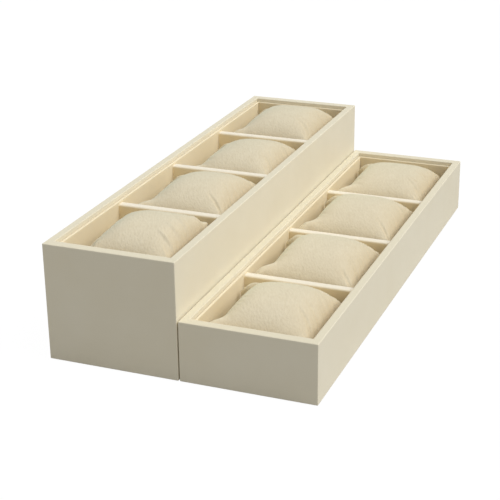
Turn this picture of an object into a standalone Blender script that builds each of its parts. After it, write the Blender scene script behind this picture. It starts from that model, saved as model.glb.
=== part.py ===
"""Two-level jewelry display tray: a tall and a low box side by side, each with four pillows.

Run with blender --background --python part.py, or from Blender's text editor.

Frame: metres, +Z up. +X runs along the boxes, the low box is in front at -Y and the tall box behind
it at +Y. The origin is at the middle of the whole tray, on the surface that it stands on. Left and
right are as seen from the front, so the left ends are at -X.
"""

import math

import bmesh
import bpy
from mathutils import Matrix, Vector

for old_object in list(bpy.data.objects):
    bpy.data.objects.remove(old_object, do_unlink=True)

MM = 0.001

# The two boxes
LENGTH = 400.0 * MM
BOX_WIDTH = 100.0 * MM
LOW_HEIGHT = 46.0 * MM
TALL_HEIGHT = 89.0 * MM
BOX_GAP = 0.9 * MM
WALL = 6.0 * MM
END_WALL = 7.5 * MM
WALL_ROUND = 1.2 * MM
BASE = 3.0 * MM
FELT = 0.7 * MM
FELT_INSET = 9.0 * MM

# The lining: strips inside the walls, a pad on the floor and the dividers
LINER = 2.0 * MM
LINER_DROP = 3.0 * MM
LINER_ROUND = 0.6 * MM
FLOOR_PAD = 1.5 * MM
DIVIDER = 7.0 * MM
DIVIDER_DROP = 2.0 * MM
DIVIDER_ROUND = 1.5 * MM
COMPARTMENTS = 4

# The raised floor of the tall box
DECK = 3.0 * MM
BATTEN = 12.0 * MM
BATTEN_INSET = 10.0 * MM

# The pillows: clearance all round, crown above the rim of each box, seam below it, ears above the
# seam, and how far each side is pulled in at its middle
PILLOW_CLEARANCE = 1.0 * MM
LOW_CROWN = 8.0 * MM
TALL_CROWN = 6.5 * MM
PILLOW_SEAM_DROP = 16.0 * MM
PILLOW_EAR_LIFT = 4.0 * MM
PILLOW_PINCH = 6.0 * MM

# The pillows' section: 2 and 0.5 are an ellipse, more and less are squarer. The under side swells by
# PILLOW_FLAT of its depth and is cut level where it lies, and the ears rise near the corners only
PILLOW_SQUARE = 2.4
PILLOW_BLUNT = 0.55
PILLOW_FLAT = 1.25
PILLOW_EAR_REACH = 4

# Clearance between pieces that touch on the real tray
FIT = 0.3 * MM

# How finely the shapes are made: steps in a rounded edge, cells across a pillow, and the angle in
# degrees from which an edge is shaded sharp
ROUND_STEPS = 3
PILLOW_CELLS = 14
SHARP_ANGLE = 40.0


def linear(code):
    """Turn an sRGB hex colour into the linear values of a shader."""
    channels = [int(code[i:i + 2], 16) / 255.0 for i in (0, 2, 4)]
    return tuple(c / 12.92 if c <= 0.04045 else ((c + 0.055) / 1.055) ** 2.4 for c in channels) + (1.0,)


def make_material(name, code, roughness):
    """Make a plain Principled material from a hex colour."""
    material = bpy.data.materials.new(name)
    material.use_nodes = True
    shader = material.node_tree.nodes["Principled BSDF"]
    shader.inputs["Base Color"].default_value = linear(code)
    shader.inputs["Roughness"].default_value = roughness
    shader.inputs["Metallic"].default_value = 0.0
    material.diffuse_color = linear(code)
    return material


LEATHERETTE = make_material("leatherette", "E9E0C8", 0.50)
LINING = make_material("lining", "E6D9B9", 0.60)
VELVET = make_material("velvet", "DDD3B4", 0.95)
BOARD = make_material("board", "B59A72", 0.80)
FELT_CLOTH = make_material("felt", "CFC4A8", 1.00)


def add_object(name, bm, material, place=(0.0, 0.0, 0.0)):
    """Turn a bmesh into a named, smooth shaded object with its material, at its place."""
    bmesh.ops.recalc_face_normals(bm, faces=bm.faces)
    mesh = bpy.data.meshes.new(name)
    bm.to_mesh(mesh)
    bm.free()
    mesh.materials.append(material)
    mesh.shade_smooth()
    mesh.set_sharp_from_angle(angle=math.radians(SHARP_ANGLE))
    item = bpy.data.objects.new(name, mesh)
    item.location = place
    bpy.context.collection.objects.link(item)
    return item


def block(low, high):
    """Make a bmesh box between two corners."""
    bm = bmesh.new()
    size = Vector(high) - Vector(low)
    middle = (Vector(high) + Vector(low)) / 2.0
    bmesh.ops.create_cube(bm, size=1.0, matrix=Matrix.Translation(middle) @ Matrix.Diagonal((*size, 1.0)))
    return bm


def round_edges(bm, radius, wanted):
    """Round the edges whose two ends both satisfy the wanted test."""
    edges = [edge for edge in bm.edges if wanted(edge.verts[0].co, edge.verts[1].co)]
    bmesh.ops.bevel(bm, geom=edges, offset=radius, offset_type="OFFSET", segments=ROUND_STEPS,
                    profile=0.5, affect="EDGES", clamp_overlap=True)


def cut_away(bm, point, outward):
    """Cut a bmesh with a plane, drop what lies outward of it and close the cut."""
    bmesh.ops.bisect_plane(bm, geom=[*bm.verts, *bm.edges, *bm.faces], plane_co=point, plane_no=outward,
                           clear_outer=True, dist=1e-7)
    open_edges = [edge for edge in bm.edges if edge.is_boundary]
    bmesh.ops.edgeloop_fill(bm, edges=open_edges)


def mitred_side(name, length, thickness, neighbour, low_z, high_z, radius, bottom_too, material, place,
                turn):
    """Make one wall or strip of a box, mitred at both ends against neighbours of their own thickness.

    It is built along X with its outer face at y = 0 and its inner face at y = thickness, then turned
    about Z and moved to its place. The outer corners, the top edges and, where asked, the outer bottom
    edges are rounded before the mitres are cut, so the four sides share one rounded outline.
    """
    half = length / 2.0
    bm = block((-half, 0.0, low_z), (half, thickness, high_z))
    tiny = thickness * 0.01

    def wanted(a, b):
        top = a.z > high_z - tiny and b.z > high_z - tiny
        bottom = a.z < low_z + tiny and b.z < low_z + tiny
        outer = a.y < tiny and b.y < tiny
        inner = a.y > tiny and b.y > tiny
        upright = abs(a.z - b.z) > tiny
        if upright:
            return outer
        if bottom:
            return bottom_too and not inner
        return top

    round_edges(bm, radius, wanted)
    for side in (-1.0, 1.0):
        outward = Vector((side * thickness, neighbour, 0.0)).normalized()
        corner = Vector((side * half, 0.0, 0.0)) - outward * (FIT / 2.0)
        cut_away(bm, corner, outward)
    bmesh.ops.transform(bm, matrix=Matrix.Rotation(turn, 4, "Z"), verts=bm.verts)
    return add_object(name, bm, material, place)


def mitred_frame(prefix, low, high, thickness, end_thickness, radius, bottom_too, material):
    """Make the four sides of a box between two corners: front, right, back and left."""
    size_x = high[0] - low[0]
    size_y = high[1] - low[1]
    mid_x = (low[0] + high[0]) / 2.0
    mid_y = (low[1] + high[1]) / 2.0
    sides = (
        ("front", size_x, thickness, end_thickness, (mid_x, low[1], 0.0), 0.0),
        ("right", size_y, end_thickness, thickness, (high[0], mid_y, 0.0), math.pi / 2.0),
        ("back", size_x, thickness, end_thickness, (mid_x, high[1], 0.0), math.pi),
        ("left", size_y, end_thickness, thickness, (low[0], mid_y, 0.0), -math.pi / 2.0),
    )
    for side, length, own, neighbour, place, turn in sides:
        mitred_side(f"{prefix}_{side}", length, own, neighbour, low[2], high[2], radius, bottom_too,
                    material, place, turn)


def plate(name, low, high, material, radius=0.0):
    """Make a flat board or pad between two corners, with its top edges rounded if a radius is given."""
    bm = block(low, high)
    if radius:
        top = high[2] - (high[2] - low[2]) * 0.01
        round_edges(bm, radius, lambda a, b: a.z > top and b.z > top)
    return add_object(name, bm, material)


def pillow(name, centre, length, width, bottom, crown, seam):
    """Make a stuffed pillow: crowned, flat where it lies, its sides pulled in between four ears.

    u and v run from -1 to 1 across the pillow, closer together near the seam. Both faces leave the
    seam and swell to the middle.
    """
    bm = bmesh.new()
    steps = range(PILLOW_CELLS + 1)

    def across(step):
        return math.sin(math.pi / 2.0 * (2.0 * step / PILLOW_CELLS - 1.0))

    def swell(w):
        return (1.0 - abs(w) ** PILLOW_SQUARE) ** PILLOW_BLUNT

    def point(i, j, upper):
        u = across(i)
        v = across(j)
        x = u * (length / 2.0 - PILLOW_PINCH * (1.0 - v * v))
        y = v * (width / 2.0 - PILLOW_PINCH * (1.0 - u * u))
        full = swell(u) * swell(v)
        edge = seam + PILLOW_EAR_LIFT * (u * v) ** PILLOW_EAR_REACH
        if upper:
            z = edge + (crown - edge) * full
        else:
            z = max(bottom, edge - PILLOW_FLAT * (edge - bottom) * full)
        return Vector((x, y, z))

    top = {(i, j): bm.verts.new(point(i, j, True)) for i in steps for j in steps}
    under = dict(top)
    for i in steps[1:-1]:
        for j in steps[1:-1]:
            under[i, j] = bm.verts.new(point(i, j, False))
    for i in steps[:-1]:
        for j in steps[:-1]:
            ring = ((i, j), (i + 1, j), (i + 1, j + 1), (i, j + 1))
            bm.faces.new([top[key] for key in ring])
            bm.faces.new([under[key] for key in reversed(ring)])
    return add_object(name, bm, VELVET, (centre[0], centre[1], 0.0))


def box(prefix, front_y, height, floor_z, crown):
    """Build one box: its walls, base, felt, lining, dividers and pillows.

    front_y is the outer face of its front wall, and floor_z is the top of the board that carries the
    lining, which is the base in the low box and the raised deck in the tall one. crown is how far the
    pillows rise above the rim.
    """
    left = -LENGTH / 2.0
    right = LENGTH / 2.0
    back_y = front_y + BOX_WIDTH
    body_z = FELT + FIT

    mitred_frame(f"{prefix}_wall", (left, front_y, body_z), (right, back_y, height), WALL, END_WALL,
                 WALL_ROUND, True, LEATHERETTE)

    in_left = left + END_WALL + FIT
    in_right = right - END_WALL - FIT
    in_front = front_y + WALL + FIT
    in_back = back_y - WALL - FIT
    base_top = body_z + BASE
    plate(f"{prefix}_base_board", (in_left, in_front, body_z), (in_right, in_back, base_top), BOARD)
    plate(f"{prefix}_underside_felt", (left + FELT_INSET, front_y + FELT_INSET, 0.0),
          (right - FELT_INSET, back_y - FELT_INSET, FELT), FELT_CLOTH)

    if floor_z > base_top:
        deck_low = floor_z - DECK
        plate(f"{prefix}_deck_board", (in_left, in_front, deck_low), (in_right, in_back, floor_z), BOARD)
        reach = LENGTH / 2.0 - END_WALL - BATTEN_INSET - BATTEN / 2.0
        for side, middle in (("left", -reach), ("middle", 0.0), ("right", reach)):
            plate(f"{prefix}_batten_{side}", (middle - BATTEN / 2.0, in_front, base_top + FIT),
                  (middle + BATTEN / 2.0, in_back, deck_low - FIT), BOARD)

    lining_low = floor_z + FIT
    liner_top = height - LINER_DROP
    mitred_frame(f"{prefix}_liner", (in_left, in_front, lining_low), (in_right, in_back, liner_top),
                 LINER, LINER, LINER_ROUND, False, LINING)

    room_left = in_left + LINER + FIT
    room_right = in_right - LINER - FIT
    room_front = in_front + LINER + FIT
    room_back = in_back - LINER - FIT
    pad_top = lining_low + FLOOR_PAD
    plate(f"{prefix}_floor_pad", (room_left, room_front, lining_low), (room_right, room_back, pad_top),
          LINING)

    pitch = (room_right - room_left + DIVIDER) / COMPARTMENTS
    for number in range(1, COMPARTMENTS):
        start = room_left + pitch * number - DIVIDER
        plate(f"{prefix}_divider_{number}", (start, room_front, pad_top + FIT),
              (start + DIVIDER, room_back, liner_top - DIVIDER_DROP), LINING, DIVIDER_ROUND)

    length = pitch - DIVIDER - 2.0 * PILLOW_CLEARANCE
    width = room_back - room_front - 2.0 * PILLOW_CLEARANCE
    middle_y = (front_y + back_y) / 2.0
    for number in range(1, COMPARTMENTS + 1):
        middle_x = room_left + pitch * (number - 0.5) - DIVIDER / 2.0
        pillow(f"{prefix}_pillow_{number}", (middle_x, middle_y), length, width, pad_top + FIT,
               height + crown, height - PILLOW_SEAM_DROP)


def build():
    """Build both boxes, the low one in front."""
    low_floor = FELT + FIT + BASE
    box("low", -BOX_WIDTH - BOX_GAP / 2.0, LOW_HEIGHT, low_floor, LOW_CROWN)
    box("tall", BOX_GAP / 2.0, TALL_HEIGHT, TALL_HEIGHT - (LOW_HEIGHT - low_floor), TALL_CROWN)


build()
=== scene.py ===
"""Looks of the two-level jewelry display tray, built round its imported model.

Metres, +Z up, in the part's own frame: +X runs along the boxes to the right as seen from the front, the
low box is in front at -Y and the tall box behind it. The origin is at the middle, on the table.
"""

import math
import random

import bmesh
import bpy
from mathutils import Matrix, Vector, noise


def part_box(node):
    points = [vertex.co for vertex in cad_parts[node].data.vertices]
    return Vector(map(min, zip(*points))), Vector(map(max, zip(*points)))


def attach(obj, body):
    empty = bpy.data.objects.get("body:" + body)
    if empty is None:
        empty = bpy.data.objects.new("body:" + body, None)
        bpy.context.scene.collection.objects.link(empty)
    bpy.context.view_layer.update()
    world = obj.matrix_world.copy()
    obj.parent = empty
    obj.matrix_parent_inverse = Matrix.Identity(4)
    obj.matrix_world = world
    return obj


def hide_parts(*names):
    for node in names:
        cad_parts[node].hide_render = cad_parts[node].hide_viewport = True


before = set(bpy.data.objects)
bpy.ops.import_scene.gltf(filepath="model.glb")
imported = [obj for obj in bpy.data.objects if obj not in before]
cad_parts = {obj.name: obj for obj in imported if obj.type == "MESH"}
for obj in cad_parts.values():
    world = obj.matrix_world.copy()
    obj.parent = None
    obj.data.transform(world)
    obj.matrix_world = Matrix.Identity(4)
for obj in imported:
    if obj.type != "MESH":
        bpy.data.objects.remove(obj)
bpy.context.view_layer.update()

# The camera. The photograph is taken with a long lens from near the left end, above the table, and looks
# along the boxes. Its place, directions and lens were worked out from the edges of both boxes.
MM = 0.001
CAMERA_PLACE = Vector((-923.95, -343.70, 423.50)) * MM
CAMERA_AZIMUTH = math.radians(21.837)
CAMERA_FALL = math.radians(22.174)
CAMERA_ROLL = math.radians(-0.719)
CAMERA_LENS = 94.535
CAMERA_SENSOR = 36.0
CAMERA_CLIP = (0.05, 50.0)
camera = bpy.data.objects.new("camera", bpy.data.cameras.new("camera"))
camera.data.lens = CAMERA_LENS
camera.data.sensor_width = CAMERA_SENSOR
camera.data.clip_start, camera.data.clip_end = CAMERA_CLIP
ahead = Vector((math.cos(CAMERA_FALL) * math.cos(CAMERA_AZIMUTH),
                math.cos(CAMERA_FALL) * math.sin(CAMERA_AZIMUTH), -math.sin(CAMERA_FALL)))
level_right = ahead.cross(Vector((0.0, 0.0, 1.0))).normalized()
level_up = level_right.cross(ahead)
right_hand = math.cos(CAMERA_ROLL) * level_right + math.sin(CAMERA_ROLL) * level_up
overhead = -math.sin(CAMERA_ROLL) * level_right + math.cos(CAMERA_ROLL) * level_up
turned = Matrix((right_hand, overhead, -ahead)).transposed().to_4x4()
camera.matrix_world = Matrix.Translation(CAMERA_PLACE) @ turned
bpy.context.collection.objects.link(camera)
bpy.context.scene.camera = camera

# The felt under each box. It is thin pressed wool felt in a dull cream, cut a little smaller than the box
# and glued to the base, so the walls stand just clear of the table.


def linear(code):
    """Turn an sRGB hex colour into the linear values of a shader."""
    channels = [int(code[i:i + 2], 16) / 255.0 for i in (0, 2, 4)]
    return tuple(c / 12.92 if c <= 0.04045 else ((c + 0.055) / 1.055) ** 2.4 for c in channels) + (1.0,)


def add_node(tree, kind, inputs=None, **settings):
    """Add a shader node, set its settings, and give each named input its value or its link."""
    made = tree.nodes.new(kind)
    for key, value in settings.items():
        setattr(made, key, value)
    for socket, value in (inputs or {}).items():
        if isinstance(value, bpy.types.NodeSocket):
            tree.links.new(value, made.inputs[socket])
        else:
            made.inputs[socket].default_value = value
    return made


def empty_material(name):
    """Make a material whose node tree is empty, and give both."""
    material = bpy.data.materials.new(name)
    material.use_nodes = True
    material.node_tree.nodes.clear()
    return material, material.node_tree


def blend_tones(tree, factor, dark, light, reach=(0.0, 1.0)):
    """Add a ramp from one sRGB hex colour to another over this reach of a factor, and give its colour."""
    ramp = add_node(tree, "ShaderNodeValToRGB", {"Fac": factor})
    for number, code in enumerate((dark, light)):
        ramp.color_ramp.elements[number].position = reach[number]
        ramp.color_ramp.elements[number].color = linear(code)
    return ramp.outputs["Color"]


FELT_FIBRE = 0.8 * MM
FELT_RELIEF = 0.2 * MM
pressed_felt, tree = empty_material("pressed_wool_felt")
place = add_node(tree, "ShaderNodeTexCoord").outputs["Object"]
fibres = add_node(tree, "ShaderNodeTexNoise", {"Vector": place, "Scale": 1.0 / FELT_FIBRE, "Detail": 4.0})
tone = blend_tones(tree, fibres.outputs["Fac"], "B3A98D", "DCD3BA")
matted = add_node(tree, "ShaderNodeBump", {"Height": fibres.outputs["Fac"], "Distance": FELT_RELIEF,
                                          "Strength": 0.6})
cloth = add_node(tree, "ShaderNodeBsdfPrincipled", {
    "Base Color": tone, "Normal": matted.outputs["Normal"], "Roughness": 1.0, "IOR": 1.45,
    "Sheen Weight": 0.2})
add_node(tree, "ShaderNodeOutputMaterial", {"Surface": cloth.outputs["BSDF"]})


def show_as(name, material):
    """Give a CAD node that is shown as it is its finished material."""
    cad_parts[name].data.materials.clear()
    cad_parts[name].data.materials.append(material)


for box_name in ("low", "tall"):
    show_as(f"{box_name}_underside_felt", pressed_felt)

# The boards. The base of each box, and the deck and battens that raise the floor of the tall one, are plain
# medium-density fibreboard, sawn and left bare: an even tan, quite matt, with a fine speckle of fibres.
FIBRE_SPECK = 0.7 * MM
SAWN_RELIEF = 0.1 * MM
fibreboard, tree = empty_material("sawn_fibreboard")
place = add_node(tree, "ShaderNodeTexCoord").outputs["Object"]
specks = add_node(tree, "ShaderNodeTexNoise", {"Vector": place, "Scale": 1.0 / FIBRE_SPECK, "Detail": 5.0})
tone = blend_tones(tree, specks.outputs["Fac"], "94744A", "C9AD80")
sawn = add_node(tree, "ShaderNodeBump", {"Height": specks.outputs["Fac"], "Distance": SAWN_RELIEF,
                                        "Strength": 0.5})
board = add_node(tree, "ShaderNodeBsdfPrincipled", {
    "Base Color": tone, "Normal": sawn.outputs["Normal"], "Roughness": 0.85, "IOR": 1.5})
add_node(tree, "ShaderNodeOutputMaterial", {"Surface": board.outputs["BSDF"]})
for name in ("low_base_board", "tall_base_board", "tall_deck_board", "tall_batten_left",
             "tall_batten_middle", "tall_batten_right"):
    show_as(name, fibreboard)

# The wrapped walls. One piece of cream leatherette is pulled over the four boards of each box: up the
# outside, over the rim and down inside. It is coated cloth with a fine pressed grain and a satin face. The
# edges are soft, and the rim shows a mitred fold at each corner.
CLOUD = 45.0 * MM
CLOUD_REACH = (0.3, 0.7)
WAVE_DEPTH = 0.25 * MM
GRAIN_DEPTH = 0.05 * MM


def pressed_leatherette(name, dark, light, edge, grain_size, roughness, gloss):
    """Make coated cloth: faint clouds of tone, a surface that isn't quite flat, and a fine pressed grain.

    The third colour is painted light and shade: a face takes more of it the more it faces upward, so rims and
    tops are painted paler or duller than the sides.
    """
    material, tree = empty_material(name)
    place = add_node(tree, "ShaderNodeTexCoord").outputs["Object"]
    clouds = add_node(tree, "ShaderNodeTexNoise", {"Vector": place, "Scale": 1.0 / CLOUD, "Detail": 3.0})
    tone = blend_tones(tree, clouds.outputs["Fac"], dark, light, CLOUD_REACH)
    grain = add_node(tree, "ShaderNodeTexVoronoi", {"Vector": place, "Scale": 1.0 / grain_size},
                     feature="SMOOTH_F1")
    waves = add_node(tree, "ShaderNodeBump", {"Height": clouds.outputs["Fac"], "Distance": WAVE_DEPTH})
    embossed = add_node(tree, "ShaderNodeBump", {"Height": grain.outputs["Distance"], "Distance": GRAIN_DEPTH,
                                                "Strength": 0.35, "Normal": waves.outputs["Normal"]})
    # Painted light and shade: the upward faces blend into the third colour.
    facing = add_node(tree, "ShaderNodeSeparateXYZ",
                      {"Vector": add_node(tree, "ShaderNodeNewGeometry").outputs["Normal"]})
    painted_top_shading = add_node(tree, "ShaderNodeMixRGB", {"Fac": facing.outputs["Z"], "Color1": tone,
                                                "Color2": linear(edge)}, use_clamp=True)
    coated = add_node(tree, "ShaderNodeBsdfPrincipled", {
        "Base Color": painted_top_shading.outputs["Color"], "Normal": embossed.outputs["Normal"], "Roughness": roughness,
        "IOR": 1.5, "Specular IOR Level": gloss})
    add_node(tree, "ShaderNodeOutputMaterial", {"Surface": coated.outputs["BSDF"]})
    return material


WALL_GRAIN = 0.55 * MM
# Painted shade: the third colour makes the upward faces, the rim, a little duller than the sides.
leatherette = pressed_leatherette("calendered_leatherette", "E8DFC7", "EBE3CD", "E4DCC3", WALL_GRAIN,
                                  roughness=0.5, gloss=0.35)

WRAP_ROUND = 0.6 * MM
FOLD_WIDTH = 0.7 * MM
FOLD_DEPTH = 0.12 * MM
FOLD_REACH = 0.3 * WRAP_ROUND
ROUND_STEPS = 6
SAME_POINT = 0.001 * MM


def quarter(step):
    """Give the cosine and sine of one step round a quarter circle."""
    turn = math.pi / 2.0 * step / ROUND_STEPS
    return math.cos(turn), math.sin(turn)


def add_piece(name, bm, material):
    """Turn a bmesh into a smooth shaded piece that rides on the tray."""
    bmesh.ops.recalc_face_normals(bm, faces=bm.faces)
    mesh = bpy.data.meshes.new(name)
    bm.to_mesh(mesh)
    bm.free()
    mesh.materials.append(material)
    mesh.shade_smooth()
    piece = bpy.data.objects.new(name, mesh)
    bpy.context.collection.objects.link(piece)
    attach(piece, "root")
    return piece


def wrap_section(bottom, rim):
    """List the wrap's section from the inside round: share of the wall's thickness, offset, height."""
    quarters = list(map(quarter, range(ROUND_STEPS + 1)))
    points = [(1.0, 0.0, bottom)]
    points += [(0.0, WRAP_ROUND * (1.0 - s), bottom + WRAP_ROUND * (1.0 - c)) for c, s in quarters]
    points += [(0.0, WRAP_ROUND * (1.0 - c), rim - WRAP_ROUND * (1.0 - s)) for c, s in quarters]
    points += [(1.0, -WRAP_ROUND * (1.0 - s), rim - WRAP_ROUND * (1.0 - c)) for c, s in quarters]
    return points


def corner_ring(low, high, inset, height):
    """List one loop of points round a box at one inset (across X, across Y) and one height.

    Each corner has a point before and after it, where the fold's lips lie, and an arc between them.
    """
    ring = []
    for x, y, quarters in ((high.x, low.y, -1), (high.x, high.y, 0), (low.x, high.y, 1), (low.x, low.y, 2)):
        into = Vector((-inset[0] if x > 0.0 else inset[0], -inset[1] if y == high.y else inset[1]))
        start = Vector((math.cos(quarters * math.pi / 2.0), math.sin(quarters * math.pi / 2.0)))
        along = Vector((-start.y, start.x))
        corner = Vector((x, y)) + into
        radius = max(WRAP_ROUND - min(inset), 0.0)
        ring.append((*(corner - along * (radius + FOLD_WIDTH)), height))
        for c, s in map(quarter, range(ROUND_STEPS + 1)):
            ring.append((*(corner + (start * (c - 1.0) + along * (s - 1.0)) * radius), height))
        ring.append((*(corner - start * (radius + FOLD_WIDTH)), height))
    return ring


def wrapped_walls(box_name):
    """Build the wrap of one box as a closed shell of the walls' shape, with a fold at each rim corner.

    The valley of a fold is the middle point of the corner's arc, a little lower than the rim beside it.
    """
    names = [f"{box_name}_wall_{side}" for side in ("front", "back", "left", "right")]
    corners = [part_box(name) for name in names]
    low = Vector((min(c[0].x for c in corners), min(c[0].y for c in corners)))
    high = Vector((max(c[1].x for c in corners), max(c[1].y for c in corners)))
    bottom, rim = corners[0][0].z, corners[0][1].z
    wall = corners[0][1].y - corners[0][0].y
    end_wall = corners[2][1].x - corners[2][0].x
    per_corner = ROUND_STEPS + 3
    middle = 1 + ROUND_STEPS // 2
    bm = bmesh.new()
    rings = []
    for share, offset, height in wrap_section(bottom, rim):
        points = corner_ring(low, high, (end_wall * share + offset, wall * share + offset), height)
        if height > rim - FOLD_REACH:
            for i in range(middle, len(points), per_corner):
                x, y, z = points[i]
                points[i] = (x, y, z - FOLD_DEPTH)
        rings.append([bm.verts.new(p) for p in points])
    for here, there in zip(rings, rings[1:] + rings[:1]):
        for k in range(len(here)):
            after = (k + 1) % len(here)
            bm.faces.new((here[k], here[after], there[after], there[k]))
    bmesh.ops.remove_doubles(bm, verts=bm.verts, dist=SAME_POINT)
    piece = add_piece(f"{box_name}_wrapped_walls", bm, leatherette)
    piece.modifiers.new("flat_faces", "WEIGHTED_NORMAL")
    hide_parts(*names)


for box_name in ("low", "tall"):
    wrapped_walls(box_name)

# The lining. Strips of card stand inside the walls with their tops 3 mm under the rim, and a pad lies on
# the floor. They are covered with the same kind of leatherette in a warmer cream, with a duller face.
LINING_GRAIN = 0.5 * MM
# Painted light: the third colour makes the upward faces, the strips' tops, a little paler than their faces.
lining = pressed_leatherette("matt_lining_leatherette", "EADBB9", "EEE0C1", "EBDFC2", LINING_GRAIN,
                             roughness=0.65, gloss=0.3)
for box_name in ("low", "tall"):
    show_as(f"{box_name}_floor_pad", lining)
    for side in ("front", "back", "left", "right"):
        show_as(f"{box_name}_liner_{side}", lining)

# The dividers. Three boards with rounded tops stand across each box on the floor pad, tight between the
# strips. Their leatherette cover is stretched hard over the top edge, which makes it a little smoother. Its
# sides are painted lighter and warmer than the lining, as painted bounce light, and its tops paler: painted
# light.
# Painted light: lighter, warmer sides as painted bounce light, and a paler third colour on the upward faces.
divider_cover = pressed_leatherette("divider_leatherette_painted_light", "F7E4BA", "FAEAC6", "F4ECD9", LINING_GRAIN,
                                    roughness=0.55, gloss=0.35)
DIVIDER_ROUND = 1.5 * MM
DIVIDER_STEPS = 5
DIVIDER_SHARP = math.radians(40.0)
DIVIDER_SNUG = 0.25 * MM


def covered_divider(node, name):
    """Build one covered board from its CAD node, snug between the strips, its top edges rounded."""
    low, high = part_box(node)
    low.y -= DIVIDER_SNUG
    high.y += DIVIDER_SNUG
    bm = bmesh.new()
    bmesh.ops.create_cube(bm, size=1.0, matrix=Matrix.Translation((low + high) / 2.0)
                          @ Matrix.Diagonal((*(high - low), 1.0)))
    middle = (low.z + high.z) / 2.0
    top = [edge for edge in bm.edges if min(vert.co.z for vert in edge.verts) > middle
           and abs(edge.verts[0].co.y - edge.verts[1].co.y) > DIVIDER_ROUND]
    bmesh.ops.bevel(bm, geom=top, offset=DIVIDER_ROUND, segments=DIVIDER_STEPS, profile=0.5, affect="EDGES",
                    clamp_overlap=True)
    piece = add_piece(name, bm, divider_cover)
    piece.data.set_sharp_from_angle(angle=DIVIDER_SHARP)
    piece.modifiers.new("flat_faces", "WEIGHTED_NORMAL").keep_sharp = True
    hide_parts(node)


for box_name in ("low", "tall"):
    for number in (1, 2, 3):
        covered_divider(f"{box_name}_divider_{number}", f"{box_name}_covered_divider_{number}")

# The pillows. Each is a pouch of two velvet panels sewn round the edge, turned and stuffed full of loose
# fibre, so it swells to a crown between four ears, its sides pull in and its cloth gathers along the seam.
# It is pressed into its compartment by hand, so no two lie quite alike. The short pile gives a matt face
# with a fine nap. It looks paler and greyer where the eye grazes it. Its slope to the front is painted darker
# and browner the more it faces -Y: painted shade.
NAP_WIDTH = 1.4 * MM
NAP_STRETCH = 2.8
NAP_TURN = math.radians(24.0)
NAP_RELIEF = 0.4 * MM
NAP_PATCH = 9.0 * MM
PATCH_SHARE = 0.3
TONE_REACH = (0.25, 0.75)
FRONT_SHADE_SHARE = 0.5
velvet, tree = empty_material("short_pile_velvet")
place = add_node(tree, "ShaderNodeTexCoord").outputs["Object"]
brushed = add_node(tree, "ShaderNodeMapping", {
    "Vector": place, "Rotation": (0.0, 0.0, NAP_TURN), "Scale": (NAP_STRETCH, 1.0, 1.0)},
    vector_type="TEXTURE")
nap = add_node(tree, "ShaderNodeTexNoise", {"Vector": brushed.outputs["Vector"], "Scale": 1.0 / NAP_WIDTH,
                                            "Detail": 3.0})
patches = add_node(tree, "ShaderNodeTexNoise", {"Vector": place, "Scale": 1.0 / NAP_PATCH, "Detail": 2.0})
both = add_node(tree, "ShaderNodeMix", {"Factor": PATCH_SHARE, "A": nap.outputs["Fac"],
                                        "B": patches.outputs["Fac"]})
tone = blend_tones(tree, both.outputs["Result"], "DDD0B3", "E9DEC4", TONE_REACH)
# Painted shade: faces turned to the front (-Y) blend towards a darker, browner colour.
facing = add_node(tree, "ShaderNodeSeparateXYZ",
                  {"Vector": add_node(tree, "ShaderNodeNewGeometry").outputs["Normal"]})
front_slope_shade = add_node(tree, "ShaderNodeMath", {0: facing.outputs["Y"], 1: -FRONT_SHADE_SHARE},
                   operation="MULTIPLY", use_clamp=True)
painted_front_shade = add_node(tree, "ShaderNodeMixRGB", {"Fac": front_slope_shade.outputs[0], "Color1": tone,
                                          "Color2": linear("BCA680")})
raised = add_node(tree, "ShaderNodeBump", {"Height": nap.outputs["Fac"], "Distance": NAP_RELIEF,
                                          "Strength": 0.8})
cloth = add_node(tree, "ShaderNodeBsdfPrincipled", {
    "Base Color": painted_front_shade.outputs["Color"], "Normal": raised.outputs["Normal"], "Roughness": 0.95, "IOR": 1.45,
    "Specular IOR Level": 0.15, "Sheen Weight": 0.4, "Sheen Roughness": 0.45, "Sheen Tint": linear("D8EFE0")})
add_node(tree, "ShaderNodeOutputMaterial", {"Surface": cloth.outputs["BSDF"]})

# How each pillow lies: the squareness of its section along the box, and across it at the back and at the
# front, where 2 is round; how far its back and its front are pulled in; how far its back and its front ears
# are lifted; and how far its crown lies under the highest one in its box. The ears at its right-hand end are
# turned in along the box, away from the divider or the end wall.
PILLOW_SHAPES = {
    "tall_pillow_1": (2.6, 3.4, 4.0, 12.0 * MM, 1.6 * MM, 2.0 * MM, 9.0 * MM, 0.0),
    "tall_pillow_2": (2.4, 3.2, 3.0, 12.5 * MM, 2.0 * MM, 2.0 * MM, 6.0 * MM, 1.2 * MM),
    "tall_pillow_3": (2.3, 2.6, 3.0, 12.0 * MM, 2.2 * MM, -2.0 * MM, 6.0 * MM, 2.8 * MM),
    "tall_pillow_4": (2.7, 3.8, 3.4, 11.0 * MM, 2.2 * MM, 0.0, 5.0 * MM, 0.0),
    "low_pillow_1": (2.2, 4.6, 2.5, 10.5 * MM, 2.0 * MM, 4.0 * MM, 3.5 * MM, 1.0 * MM),
    "low_pillow_2": (2.3, 4.8, 2.5, 10.0 * MM, 2.4 * MM, 4.0 * MM, 3.5 * MM, 0.2 * MM),
    "low_pillow_3": (2.3, 5.0, 2.5, 10.0 * MM, 2.4 * MM, 4.5 * MM, 3.5 * MM, 0.0),
    "low_pillow_4": (2.6, 5.0, 3.6, 9.5 * MM, 2.4 * MM, 5.5 * MM, 4.0 * MM, 3.0 * MM),
}
PILLOW_CELLS = 52
CELL_CROWDING = 0.5
PILLOW_EASE = 0.3 * MM
PILLOW_BLUNT = 0.5
SEAM_SHARE = 0.5
UNDER_SWELL = 1.25
END_PINCH = 3.0 * MM
PINCH_REACH = 5
EAR_STRAY = 1.0 * MM
EAR_REACH = 2.5
EAR_CURL = 12.5 * MM
EAR_CURL_REACH = 3
LUMP = 26.0 * MM
LUMP_HEIGHT = 0.6 * MM
LUMP_FIELD = 50.0

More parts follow.
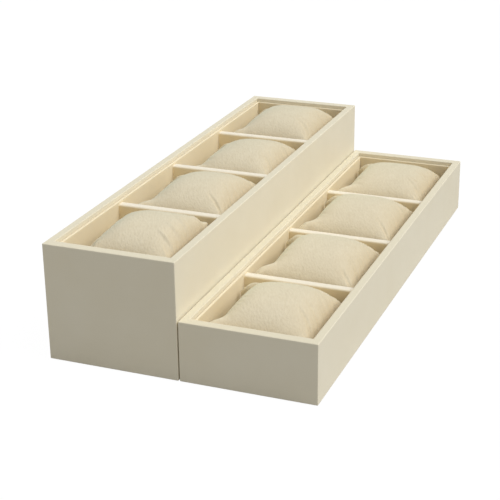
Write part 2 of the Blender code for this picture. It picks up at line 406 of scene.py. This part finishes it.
# How a pillow settles. The cloth solver works best on things about a metre wide, so the pouch is ten times
# its size while it runs, and the cloth is cut a little larger than the form, which makes it pucker. The
# fabric's values are for a soft velvet at that size.
SOLVER_SCALE = 10.0
SETTLE_FRAMES = 20
CUT_OVER = 0.04
STUFFING_PRESSURE = 10.0
SOLVER_GRAVITY = 0.2
FABRIC = {
    "quality": 6,
    "mass": 0.15,
    "tension_stiffness": 40.0,
    "compression_stiffness": 40.0,
    "shear_stiffness": 5.0,
    "bending_stiffness": 0.15,
    "tension_damping": 2.0,
    "compression_damping": 2.0,
    "shear_damping": 2.0,
    "bending_damping": 0.2,
    "shrink_min": -CUT_OVER,
    "use_pressure": True,
    "uniform_pressure_force": STUFFING_PRESSURE,
}
FABRIC_SKIN = 0.004
SETTLE_LIMIT = 1.6 * MM
TUB_WALL = 30.0 * MM
TUB_HEIGHT = 90.0 * MM
TUB_SKIN = 0.003
TUB_GRIP = 8.0
NEXT_TO_NOTHING = 1e-9

# The ears and gathers. Each ear swells at its tip, at the back more than at the front, and a faint crease
# divides it from the body. The seam thread draws up some long deep gathers and more that are short and fine,
# all leaning one way along a side. The cloth is taut along the ends, so they gather less.
FRONT_EAR_SWELLS = (0.2 * MM, 0.8 * MM)
BACK_EAR_SWELLS = (3.0 * MM, 4.0 * MM)
EAR_CENTRE = 5.0 * MM
EAR_WIDTH = 6.0 * MM
EAR_LENGTH = 20.0 * MM
EAR_CREASES = (0.1 * MM, 0.4 * MM)
CREASE_WIDTH = 4.0 * MM
CREASE_MIDDLE = 0.3
GATHERS = (
    (5, (15.0 * MM, 26.0 * MM), (1.1 * MM, 2.1 * MM), (1.1 * MM, 1.6 * MM)),
    (11, (8.0 * MM, 17.0 * MM), (0.4 * MM, 0.9 * MM), (0.8 * MM, 1.2 * MM)),
)
GATHER_LEANS = {"front": (0.5, 0.8), "back": (-0.5, 0.5), "left": (-0.4, 0.4), "right": (-0.4, 0.4)}
GATHER_SHARES = {"front": 1.0, "back": 0.3, "left": 0.08, "right": 0.15}
GATHER_STRAY = 0.12
GATHER_PLACES = (0.1, 0.9)
GATHER_TAPER = 0.4
GATHER_EDGE = 3.0
GATHER_START = 2.0 * MM
SEAM_GROOVE = 0.5 * MM
SEAM_WIDTH = 1.2 * MM


def pillow_pouch(size, shape, draw):
    """Make a pouch's form as a bmesh that stands on z = 0, and keep each point's place on its panel.

    u and v run from -1 to 1 over a panel, and the two panels share the points of the seam. The cells are
    closer together near the seam.
    """
    square_along, square_back, square_front, back_pinch, front_pinch, back_lift, front_lift, _ = shape
    half_x, half_y = size.x / 2.0 - PILLOW_EASE, size.y / 2.0 - PILLOW_EASE
    seam = size.z * SEAM_SHARE
    lifts = {(a, b): draw.uniform(-EAR_STRAY, EAR_STRAY) + (back_lift if b > 0 else front_lift)
             for a in (-1, 1) for b in (-1, 1)}
    somewhere = Vector([draw.uniform(0.0, LUMP_FIELD) for _ in range(3)])
    bm = bmesh.new()
    layers = [bm.verts.layers.float.new(name) for name in ("cut_x", "cut_y", "panel")]
    cells = {}

    def across(step):
        even = 2.0 * step / PILLOW_CELLS - 1.0
        return (1.0 - CELL_CROWDING) * even + CELL_CROWDING * math.sin(math.pi / 2.0 * even)

    for i in range(PILLOW_CELLS + 1):
        for j in range(PILLOW_CELLS + 1):
            u, v = across(i), across(j)
            on_seam = i in (0, PILLOW_CELLS) or j in (0, PILLOW_CELLS)
            square_across = square_back if v > 0.0 else square_front
            full = ((1.0 - abs(u) ** square_along) * (1.0 - abs(v) ** square_across)) ** PILLOW_BLUNT
            edge = seam + lifts[1 if u > 0.0 else -1, 1 if v > 0.0 else -1] * abs(u * v) ** EAR_REACH
            curl = EAR_CURL * abs(u * v) ** EAR_CURL_REACH if u > 0.0 else 0.0
            waist = 1.0 - abs(u) ** PINCH_REACH
            pinch = back_pinch if v > 0.0 else front_pinch
            x = u * (half_x - curl - END_PINCH * (1.0 - abs(v) ** PINCH_REACH))
            y = v * (half_y - pinch * waist) - (back_pinch - front_pinch) / 2.0 * waist * (1.0 - v * v)
            for panel in (0,) if on_seam else (1, -1):
                if panel >= 0:
                    z = edge + (size.z - edge) * full
                else:
                    z = max(0.0, edge * (1.0 - UNDER_SWELL * full))
                if z > 0.0:
                    z += LUMP_HEIGHT * noise.noise(Vector((x, y, z)) / LUMP + somewhere)
                vert = bm.verts.new((x, y, z))
                for layer, value in zip(layers, (u, v, panel)):
                    vert[layer] = value
                cells[i, j, panel] = vert
    for i in range(PILLOW_CELLS):
        for j in range(PILLOW_CELLS):
            ring = ((i, j), (i + 1, j), (i + 1, j + 1), (i, j + 1))
            bm.faces.new([cells.get((*key, 1)) or cells[(*key, 0)] for key in ring])
            bm.faces.new([cells.get((*key, -1)) or cells[(*key, 0)] for key in reversed(ring)])
    return bm


def compartment_tub(half_x, half_y):
    """Make the open tub that the pillow settles in, at the solver's scale, as a collider."""
    out_x, out_y = half_x + TUB_WALL, half_y + TUB_WALL
    bm = bmesh.new()
    for low, top in (
            ((-out_x, -out_y, -TUB_WALL), (out_x, out_y, 0.0)),
            ((-out_x, -out_y, 0.0), (-half_x, out_y, TUB_HEIGHT)),
            ((half_x, -out_y, 0.0), (out_x, out_y, TUB_HEIGHT)),
            ((-half_x, -out_y, 0.0), (half_x, -half_y, TUB_HEIGHT)),
            ((-half_x, half_y, 0.0), (half_x, out_y, TUB_HEIGHT))):
        low, top = Vector(low) * SOLVER_SCALE, Vector(top) * SOLVER_SCALE
        bmesh.ops.create_cube(bm, size=1.0, matrix=Matrix.Translation((low + top) / 2.0)
                              @ Matrix.Diagonal((*(top - low), 1.0)))
    mesh = bpy.data.meshes.new("compartment_tub")
    bm.to_mesh(mesh)
    bm.free()
    tub = bpy.data.objects.new("compartment_tub", mesh)
    bpy.context.collection.objects.link(tub)
    tub.modifiers.new("collision", "COLLISION")
    tub.collision.thickness_outer = TUB_SKIN
    tub.collision.cloth_friction = TUB_GRIP
    return tub


def settle(bm, half_x, half_y):
    """Run the cloth solver on a pouch in its compartment, and move its points towards where they settle."""
    mesh = bpy.data.meshes.new("settling")
    bm.to_mesh(mesh)
    mesh.transform(Matrix.Scale(SOLVER_SCALE, 4))
    pouch = bpy.data.objects.new("settling", mesh)
    bpy.context.collection.objects.link(pouch)
    tub = compartment_tub(half_x, half_y)
    solver = pouch.modifiers.new("cloth", "CLOTH")
    for key, value in FABRIC.items():
        setattr(solver.settings, key, value)
    solver.settings.effector_weights.gravity = SOLVER_GRAVITY
    solver.collision_settings.distance_min = FABRIC_SKIN
    solver.collision_settings.collision_quality = 2
    solver.point_cache.frame_start = 1
    solver.point_cache.frame_end = SETTLE_FRAMES
    for number in range(1, SETTLE_FRAMES + 1):
        bpy.context.scene.frame_set(number)
    result = pouch.evaluated_get(bpy.context.evaluated_depsgraph_get()).to_mesh()
    for vert, settled in zip(bm.verts, result.vertices):
        move = settled.co / SOLVER_SCALE - vert.co
        vert.co += move * min(1.0, SETTLE_LIMIT / max(move.length, NEXT_TO_NOTHING))
    bpy.data.objects.remove(pouch)
    bpy.data.objects.remove(tub)
    bpy.context.scene.frame_set(1)


def divided(bm):
    """Divide each cell of a pouch in four, smoothly."""
    mesh = bpy.data.meshes.new("dividing")
    bm.to_mesh(mesh)
    bm.free()
    pouch = bpy.data.objects.new("dividing", mesh)
    bpy.context.collection.objects.link(pouch)
    pouch.modifiers.new("smooth", "SUBSURF").levels = 1
    fine = bmesh.new()
    fine.from_mesh(pouch.evaluated_get(bpy.context.evaluated_depsgraph_get()).to_mesh())
    bpy.data.objects.remove(pouch)
    return fine


def draw_gathers(half, draw):
    """Choose a pillow's gathers: for each panel and side, their place, length, depth, width and lean."""
    sides = {}
    for panel in (True, False):
        for side, leans in GATHER_LEANS.items():
            reach = half.y if side in ("left", "right") else half.x
            common = draw.uniform(*leans)
            share = GATHER_SHARES[side]
            sides[panel, side] = [
                (reach * (2.0 * (k + draw.uniform(*GATHER_PLACES)) / count - 1.0), draw.uniform(*lengths),
                 share * draw.uniform(*depths), draw.uniform(*widths),
                 common + draw.uniform(-GATHER_STRAY, GATHER_STRAY))
                for count, lengths, depths, widths in GATHERS for k in range(count)]
    return sides


def gathered(along, off, gathers):
    """Work out how far one side's gathers draw in the point at these distances along and off its seam."""
    deepest = 0.0
    for start, length, depth, width, lean in gathers:
        if off < length:
            miss = (along - start - lean * off) / (width * (1.0 - GATHER_TAPER * off / length))
            if abs(miss) < GATHER_EDGE:
                deepest = max(deepest, depth * math.exp(-miss * miss / 2.0) * (1.0 - (off / length) ** 2))
    return deepest * min(1.0, off / GATHER_START)


def sew(bm, size, draw):
    """Raise the ears, cut the seam's groove and draw up the gathers, along the surface's normals."""
    half = size / 2.0
    u_layer, v_layer, panel_layer = (bm.verts.layers.float[name] for name in ("cut_x", "cut_y", "panel"))
    ears = {(right, back): (draw.uniform(*(BACK_EAR_SWELLS if back else FRONT_EAR_SWELLS)),
                            draw.uniform(*EAR_CREASES))
            for right in (False, True) for back in (False, True)}
    sides = draw_gathers(half, draw)
    bm.normal_update()
    places = []
    for vert in bm.verts:
        u, v, upper = vert[u_layer], vert[v_layer], vert[panel_layer] > 0.0
        in_x, in_y = (1.0 - abs(u)) * half.x, (1.0 - abs(v)) * half.y
        swell, crease = ears[u > 0.0, v > 0.0]
        tip = math.hypot(in_x - EAR_CENTRE, in_y - EAR_CENTRE) / EAR_WIDTH
        behind = (in_x + in_y - EAR_LENGTH) / CREASE_WIDTH
        beside = abs(in_x - in_y) / (in_x + in_y + NEXT_TO_NOTHING)
        crease *= CREASE_MIDDLE + (1.0 - CREASE_MIDDLE) * beside
        move = swell * math.exp(-tip * tip) - crease * math.exp(-behind * behind)
        for side, along, off in (
                ("left", v * half.y, (1.0 + u) * half.x), ("right", v * half.y, (1.0 - u) * half.x),
                ("front", u * half.x, (1.0 + v) * half.y), ("back", u * half.x, (1.0 - v) * half.y)):
            move -= gathered(along, off, sides[upper, side])
        move -= SEAM_GROOVE * max(0.0, 1.0 - min(in_x, in_y) / SEAM_WIDTH)
        places.append(vert.co + vert.normal * move)
    for vert, place in zip(bm.verts, places):
        vert.co = place
    for name in ("cut_x", "cut_y", "panel"):
        bm.verts.layers.float.remove(bm.verts.layers.float[name])


def stuffed_pillow(node, name, seed):
    """Build one pillow in the space of its CAD node."""
    draw = random.Random(seed)
    low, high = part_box(node)
    size = high - low
    size.z -= PILLOW_SHAPES[node][-1]
    bm = pillow_pouch(size, PILLOW_SHAPES[node], draw)
    bmesh.ops.recalc_face_normals(bm, faces=bm.faces)
    settle(bm, size.x / 2.0, size.y / 2.0)
    bm = divided(bm)
    sew(bm, size, draw)
    lowest = min(vert.co.z for vert in bm.verts)
    stretch = size.z / (max(vert.co.z for vert in bm.verts) - lowest)
    middle = Vector(((low.x + high.x) / 2.0, (low.y + high.y) / 2.0, low.z))
    for vert in bm.verts:
        x = min(max(vert.co.x, -size.x / 2.0), size.x / 2.0)
        y = min(max(vert.co.y, -size.y / 2.0), size.y / 2.0)
        vert.co = middle + Vector((x, y, (vert.co.z - lowest) * stretch))
    piece = add_piece(name, bm, velvet)
    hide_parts(node)


for seed, node in enumerate(PILLOW_SHAPES):
    stuffed_pillow(node, node.replace("_pillow_", "_velvet_pillow_"), seed)

# The table and the light. A pale sweep lies under the tray, and a large soft lamp stands in front of it and
# above, so the ends are in shade. The lamps are at a plain level.
FLOOR_REACH = 6.0
PAPER_GLOW = 1.05
PAPER_GLOW_SHARE = 0.94
AMBIENT_LIGHT = 0.41
BACKDROP_LIGHT = 1.0
floor_mesh = bpy.data.meshes.new("pale_floor")
floor_mesh.from_pydata([(x * FLOOR_REACH, y * FLOOR_REACH, 0.0)
                        for x, y in ((-1, -1), (1, -1), (1, 1), (-1, 1))], [], [(0, 1, 2, 3)])
floor = bpy.data.objects.new("pale_floor", floor_mesh)
bpy.context.collection.objects.link(floor)
sweep, tree = empty_material("white_paper_sweep")
paper = add_node(tree, "ShaderNodeBsdfDiffuse", {"Color": linear("B4B4B2")})
glow = add_node(tree, "ShaderNodeEmission", {"Color": linear("FFFFFF"), "Strength": PAPER_GLOW})
seen = add_node(tree, "ShaderNodeLightPath").outputs["Is Camera Ray"]
share = add_node(tree, "ShaderNodeMath", {0: seen, 1: PAPER_GLOW_SHARE}, operation="MULTIPLY")
shown = add_node(tree, "ShaderNodeMixShader", {0: share.outputs[0], 1: paper.outputs["BSDF"],
                                              2: glow.outputs["Emission"]})
add_node(tree, "ShaderNodeOutputMaterial", {"Surface": shown.outputs["Shader"]})
floor_mesh.materials.append(sweep)

world = bpy.data.worlds.new("plain_studio")
bpy.context.scene.world = world
world.use_nodes = True
tree = world.node_tree
tree.nodes.clear()
path = add_node(tree, "ShaderNodeLightPath")
seen = add_node(tree, "ShaderNodeMath", {0: path.outputs["Is Camera Ray"], 1: path.outputs["Is Glossy Ray"]},
                operation="MAXIMUM")
ambient = add_node(tree, "ShaderNodeBackground", {"Color": linear("FFFFFF"), "Strength": AMBIENT_LIGHT})
backdrop = add_node(tree, "ShaderNodeBackground", {"Color": linear("FFFFFF"), "Strength": BACKDROP_LIGHT})
either = add_node(tree, "ShaderNodeMixShader", {0: seen.outputs[0], 1: ambient.outputs["Background"],
                                               2: backdrop.outputs["Background"]})
add_node(tree, "ShaderNodeOutputWorld", {"Surface": either.outputs["Shader"]})

KEY_FROM = Vector((0.08, -0.61, 0.785))
KEY_POWER = 2.2
KEY_SPREAD = math.radians(45.0)
key = bpy.data.lights.new("key", "SUN")
key.energy = KEY_POWER
key.angle = KEY_SPREAD
key_lamp = bpy.data.objects.new("key", key)
key_lamp.rotation_euler = KEY_FROM.to_track_quat("Z", "Y").to_euler()
bpy.context.collection.objects.link(key_lamp)

bpy.context.scene.view_settings.view_transform = "Standard"
